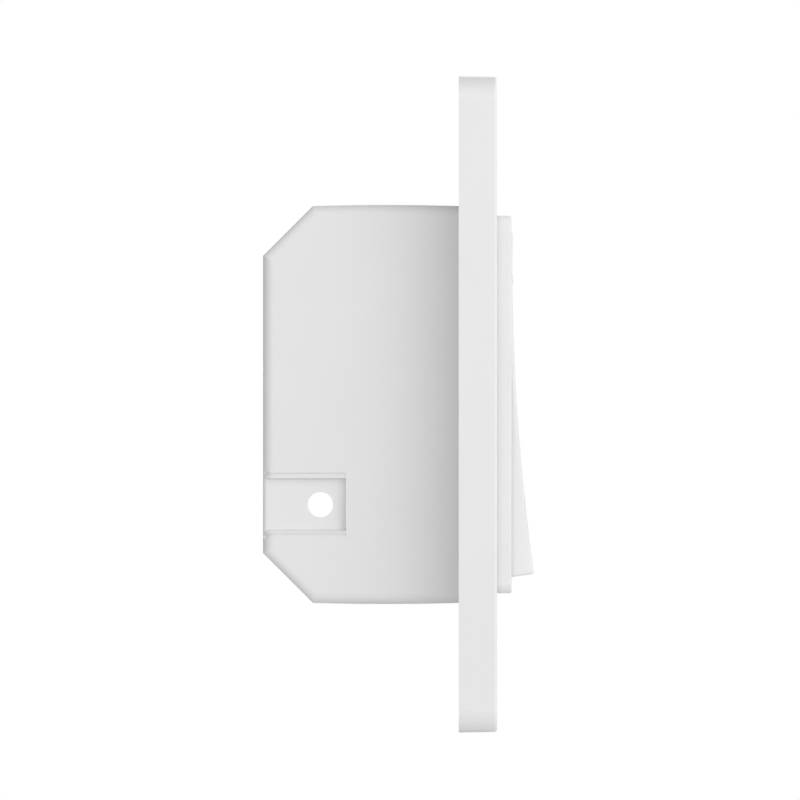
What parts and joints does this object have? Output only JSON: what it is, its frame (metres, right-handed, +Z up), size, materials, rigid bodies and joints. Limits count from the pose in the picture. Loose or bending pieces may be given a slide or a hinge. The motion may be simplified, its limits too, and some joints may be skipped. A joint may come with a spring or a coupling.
{
  "type": "smart light switch",
  "caption": "In-wall smart paddle switch with a screwless wall plate, raised bezel, concave rocking paddle with a status light, and a deep chamfered rear housing.",
  "frame": {"origin": "on the rear face of the mounting strap, in the wall's surface, midway between the box screws", "axes": "+Z up, +Y into the wall, +X to the right for someone in the room"},
  "size_m": [0.0698, 0.0472, 0.1142],
  "materials": {
    "plate_white": "semi-gloss",
    "paddle_white": "semi-gloss",
    "frame_white": "semi-gloss",
    "subframe_white": "matt",
    "housing_white": "fine moulded texture",
    "strap_steel": "zinc plated",
    "screw_steel": "zinc plated",
    "spring_steel": "bright spring strip",
    "lens_clear": "clear, lit bluish white",
    "led_body": "matt",
    "insulator_fibre": "matt",
    "board_green": "satin solder mask",
    "radio_board": "satin solder mask",
    "shield_steel": "tinned",
    "connector_black": "matt",
    "relay_blue": "satin",
    "ferrite": "matt",
    "winding_tape": "satin tape",
    "capacitor_sleeve": "satin sleeve",
    "film_capacitor": "satin",
    "varistor_coat": "satin epoxy",
    "fuse_coat": "satin",
    "switch_black": "satin",
    "terminal_grey": "matt",
    "clamp_brass": "nickel-free brass",
    "ground_copper": "tinned"
  },
  "bodies": {
    "switch": {"wall_plate": "plate_white", "plate_subframe": "subframe_white", "plate_screws": "screw_steel", "mounting_strap": "strap_steel", "front_frame": "frame_white", "frame_screws": "screw_steel", "light_guide": "lens_clear", "paddle_spring": "spring_steel", "insulator_sheet": "insulator_fibre", "tact_switch_body": "switch_black", "indicator_led": "led_body", "control_board": "board_green", "wifi_module": "radio_board", "wifi_shield_can": "shield_steel", "header_socket": "connector_black", "header_pins": "connector_black", "power_board": "board_green", "relay": "relay_blue", "transformer_core": "ferrite", "transformer_bobbin": "winding_tape", "bulk_capacitors": "capacitor_sleeve", "output_capacitor": "capacitor_sleeve", "x_capacitor": "film_capacitor", "varistor": "varistor_coat", "fuse": "fuse_coat", "terminal_block": "terminal_grey", "terminal_clamps": "clamp_brass", "terminal_screws": "screw_steel", "ground_strip": "ground_copper", "rear_housing": "housing_white"},
    "paddle": {"paddle": "paddle_white", "indicator_lens": "lens_clear"},
    "plunger": {"tact_switch_button": "switch_black"}
  },
  "joints": [
    {"name": "paddle_press", "type": "hinge", "parent": "switch", "child": "paddle", "pos_m": [0, -0.004, 0.027], "axis": [1, 0, 0], "range_deg": [0, 1.5], "stiffness_Nm_per_rad": 1.3, "springref_deg": -2.29, "deforming": ["paddle_spring"]},
    {"name": "button_travel", "type": "slide", "parent": "switch", "child": "plunger", "axis": [0, 1, 0], "range_m": [0, 0.0011]}
  ],
  "couplings": [
    {"joint": "button_travel", "follows": "paddle_press", "m_per_rad": 0.041}
  ]
}
